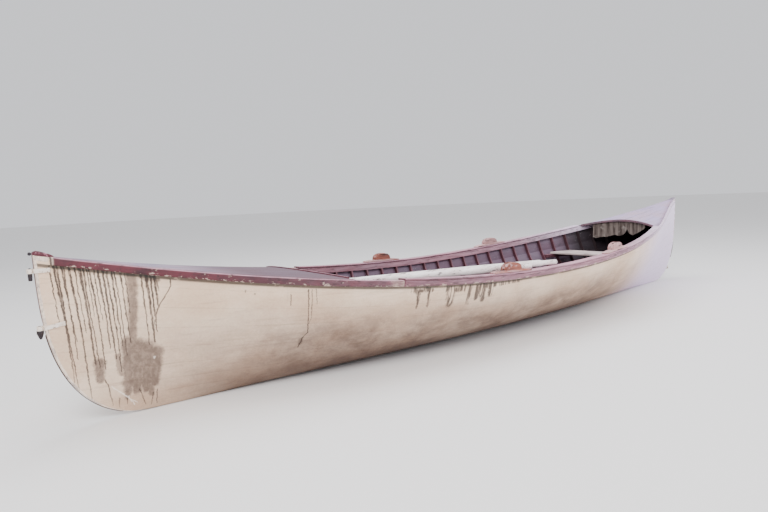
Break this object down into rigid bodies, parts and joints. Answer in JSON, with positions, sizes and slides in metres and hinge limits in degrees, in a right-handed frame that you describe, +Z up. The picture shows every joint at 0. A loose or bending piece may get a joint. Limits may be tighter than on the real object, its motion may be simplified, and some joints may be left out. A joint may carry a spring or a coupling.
{
  "type": "guideboat",
  "caption": "Double-ended canvas-covered rowing guideboat with sawn ribs, maroon rails, hollow-edged end decks, plank seats, oarlock blocks and oars stowed inside.",
  "frame": {"origin": "on the flat of the bottom, midway between the stems and on the centreline, where the boat stands on a floor", "axes": "+X forward to the bow, +Y to port, +Z up"},
  "size_m": [4.9059, 1.106, 0.688],
  "materials": {
    "hull_canvas": "painted canvas over planking, cream, chalky, stained",
    "stem_paint": "cream paint over wood, weathered",
    "cap_maroon": "maroon paint, flaking",
    "rail_paint": "maroon paint, chipped and faded",
    "deck_paint": "lavender grey paint, faded",
    "inner_paint": "purple maroon paint, dull",
    "seat_paint": "cream paint, worn",
    "block_wood": "bare weathered wood",
    "oar_paint": "white paint worn to pinkish wood",
    "iron": "dark, rusted",
    "band_metal": "dull brown half-oval band",
    "bolt_metal": "dull tan brass",
    "gudgeon_paint": "cream paint over metal",
    "apron_canvas": "grey dirty canvas, torn"
  },
  "bodies": {
    "root": {"bottom_board": "hull_canvas", "bow_apron": "apron_canvas", "bow_coaming": "rail_paint", "bow_deck": "deck_paint", "bow_ring_bolt": "bolt_metal", "bow_seat": "seat_paint", "bow_seat_cleat_port": "inner_paint", "bow_seat_cleat_starboard": "inner_paint", "bow_stem": "stem_paint", "bow_stem_band": "band_metal", "bow_stem_cap": "cap_maroon", "garboard_aft_port": "hull_canvas", "garboard_aft_starboard": "hull_canvas", "garboard_forward_port": "hull_canvas", "garboard_forward_starboard": "hull_canvas", "garboard_middle_port": "hull_canvas", "garboard_middle_starboard": "hull_canvas", "gudgeon_lower": "gudgeon_paint", "gudgeon_pin_lower": "iron", "gudgeon_pin_upper": "iron", "gudgeon_upper": "gudgeon_paint", "gunwale_cap_port": "rail_paint", "gunwale_cap_starboard": "rail_paint", "inwale_port": "rail_paint", "inwale_starboard": "rail_paint", "lower_bilge_aft_port": "hull_canvas", "lower_bilge_aft_starboard": "hull_canvas", "lower_bilge_forward_port": "hull_canvas", "lower_bilge_forward_starboard": "hull_canvas", "lower_bilge_middle_port": "hull_canvas", "lower_bilge_middle_starboard": "hull_canvas", "middle_seat": "inner_paint", "middle_seat_cleat_port": "inner_paint", "middle_seat_cleat_starboard": "inner_paint", "oar_inboard": "oar_paint", "oar_outboard": "oar_paint", "oarlock_block_aft_port": "block_wood", "oarlock_block_aft_starboard": "block_wood", "oarlock_block_forward_port": "block_wood", "oarlock_block_forward_starboard": "block_wood", "outwale_main_port": "rail_paint", "outwale_main_starboard": "rail_paint", "outwale_stern_port": "rail_paint", "outwale_stern_starboard": "rail_paint", "rib_frame": "inner_paint", "stem_head_knob": "iron", "stern_coaming": "rail_paint", "stern_deck": "deck_paint", "stern_seat": "inner_paint", "stern_seat_cleat_port": "inner_paint", "stern_seat_cleat_starboard": "inner_paint", "stern_stem": "stem_paint", "stern_stem_band": "band_metal", "stern_stem_cap": "cap_maroon", "topside_port": "hull_canvas", "topside_starboard": "hull_canvas", "upper_bilge_aft_port": "hull_canvas", "upper_bilge_aft_starboard": "hull_canvas", "upper_bilge_forward_port": "hull_canvas", "upper_bilge_forward_starboard": "hull_canvas"}
  },
  "joints": []
}
